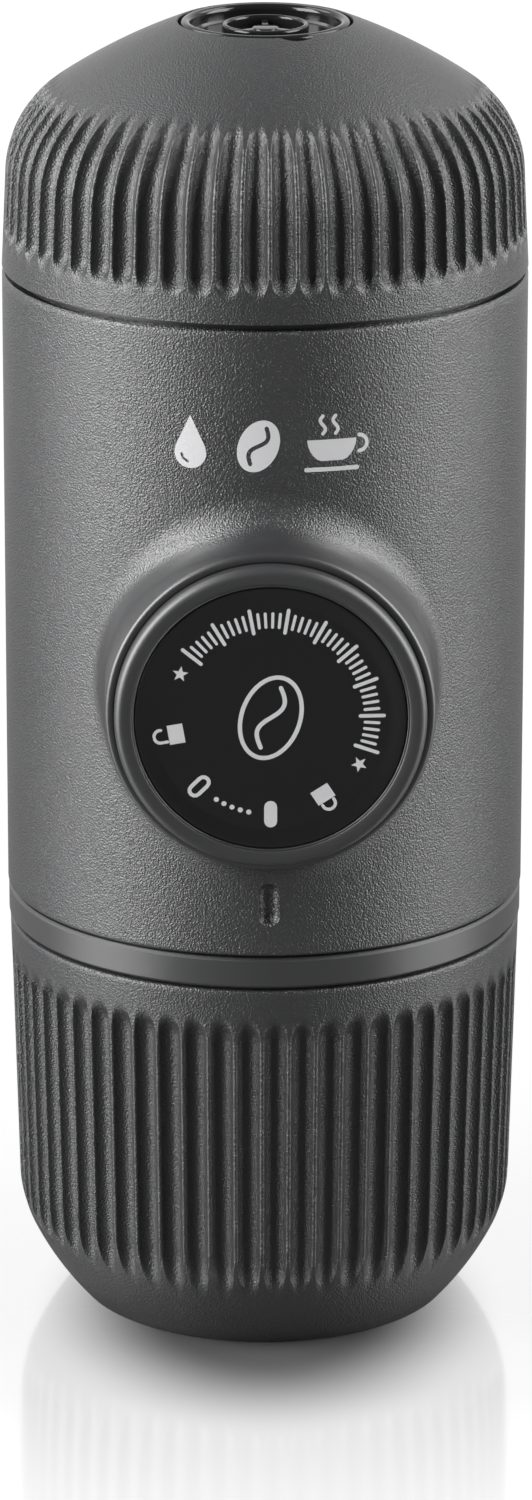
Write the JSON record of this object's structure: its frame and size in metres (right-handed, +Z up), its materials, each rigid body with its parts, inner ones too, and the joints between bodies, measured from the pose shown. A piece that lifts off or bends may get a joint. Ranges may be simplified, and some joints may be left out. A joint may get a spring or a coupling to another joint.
{
  "type": "handheld manual espresso maker",
  "caption": "Upright hand pump coffee maker with a fluted water tank, a round side pump knob, and a fluted domed cup over its outlet head.",
  "frame": {"origin": "centre of the flat base that the water tank stands on, on the body's axis", "axes": "+Z up along the body's axis, -Y out of the front through the pump knob, +X to the right as seen from the front"},
  "size_m": [0.062, 0.071, 0.1569],
  "materials": {
    "grained_grey_plastic": "fine leather-like grain, matt",
    "satin_grey_plastic": "smooth satin",
    "gloss_black_plastic": "gloss",
    "black_plastic": "fine satin",
    "white_plastic": "smooth satin",
    "seal_rubber": "matt",
    "clear_silicone": "soft matt",
    "steel_mesh": "brushed",
    "basket_steel": "drawn and brushed",
    "spring_steel": "bright drawn wire",
    "screw_steel": "plain",
    "rod_steel": "polished"
  },
  "bodies": {
    "tank": {"water_tank": "satin_grey_plastic"},
    "main_body": {"base_ring": "satin_grey_plastic", "tank_deck": "black_plastic", "tank_o_ring": "seal_rubber", "vent_valve": "clear_silicone", "inlet_strainer": "steel_mesh", "inlet_valve_seat": "black_plastic", "inlet_valve_spring": "spring_steel", "outlet_valve_spring": "spring_steel", "outlet_valve_cage": "black_plastic", "pump_block": "black_plastic", "deck_screws": "screw_steel", "head_screws": "screw_steel", "cylinder_screws": "screw_steel", "pump_cylinder": "white_plastic", "water_manifold": "black_plastic", "port_o_rings": "seal_rubber", "return_spring": "spring_steel", "body_shell": "grained_grey_plastic", "brew_head": "black_plastic", "shower_screen": "steel_mesh", "basket_gasket": "clear_silicone"},
    "inlet_poppet": {"inlet_valve": "white_plastic"},
    "outlet_poppet": {"outlet_valve": "white_plastic"},
    "piston": {"piston_rod": "rod_steel", "piston_head": "white_plastic", "piston_o_ring": "seal_rubber", "knob_screw": "screw_steel"},
    "knob": {"piston_knob": "satin_grey_plastic", "dial_plate": "gloss_black_plastic"},
    "scoop_body": {"scoop": "black_plastic"},
    "basket": {"filter_basket": "basket_steel"},
    "outlet": {"outlet_head": "black_plastic"},
    "spout_cover": {"spout_cap": "seal_rubber"},
    "cup_body": {"cup": "grained_grey_plastic"},
    "cup_stand": {"cup_foot": "gloss_black_plastic"}
  },
  "joints": [
    {"name": "body_lift", "type": "slide", "parent": "tank", "child": "main_body", "axis": [0, 0, 1], "range_m": [0, 0.03]},
    {"name": "piston_stroke", "type": "slide", "parent": "main_body", "child": "piston", "axis": [0, -1, 0], "range_m": [0, 0.022], "deforming": ["return_spring"]},
    {"name": "knob_twist", "type": "hinge", "parent": "piston", "child": "knob", "pos_m": [0, 0, 0.08395], "axis": [0, -1, 0], "range_deg": [0, 45]},
    {"name": "inlet_valve_lift", "type": "slide", "parent": "main_body", "child": "inlet_poppet", "axis": [0, 0, 1], "range_m": [0, 0.0012], "stiffness_N_per_m": 40, "springref_m": -0.002, "deforming": ["inlet_valve_spring"]},
    {"name": "outlet_valve_lift", "type": "slide", "parent": "main_body", "child": "outlet_poppet", "axis": [0, 0, 1], "range_m": [0, 0.0012], "stiffness_N_per_m": 40, "springref_m": -0.002, "deforming": ["outlet_valve_spring"]},
    {"name": "scoop_lift", "type": "slide", "parent": "main_body", "child": "scoop_body", "axis": [0, 0, 1], "range_m": [0, 0.02]},
    {"name": "basket_lift", "type": "slide", "parent": "scoop_body", "child": "basket", "axis": [0, 0, 1], "range_m": [0, 0.02]},
    {"name": "outlet_head_lift", "type": "slide", "parent": "basket", "child": "outlet", "axis": [0, 0, 1], "range_m": [0, 0.03]},
    {"name": "spout_cap_lift", "type": "slide", "parent": "outlet", "child": "spout_cover", "axis": [0, 0, 1], "range_m": [0, 0.008]},
    {"name": "cup_lift", "type": "slide", "parent": "spout_cover", "child": "cup_body", "axis": [0, 0, 1], "range_m": [0, 0.035]},
    {"name": "foot_pull", "type": "slide", "parent": "cup_body", "child": "cup_stand", "axis": [0, 0, 1], "range_m": [0, 0.006]}
  ]
}
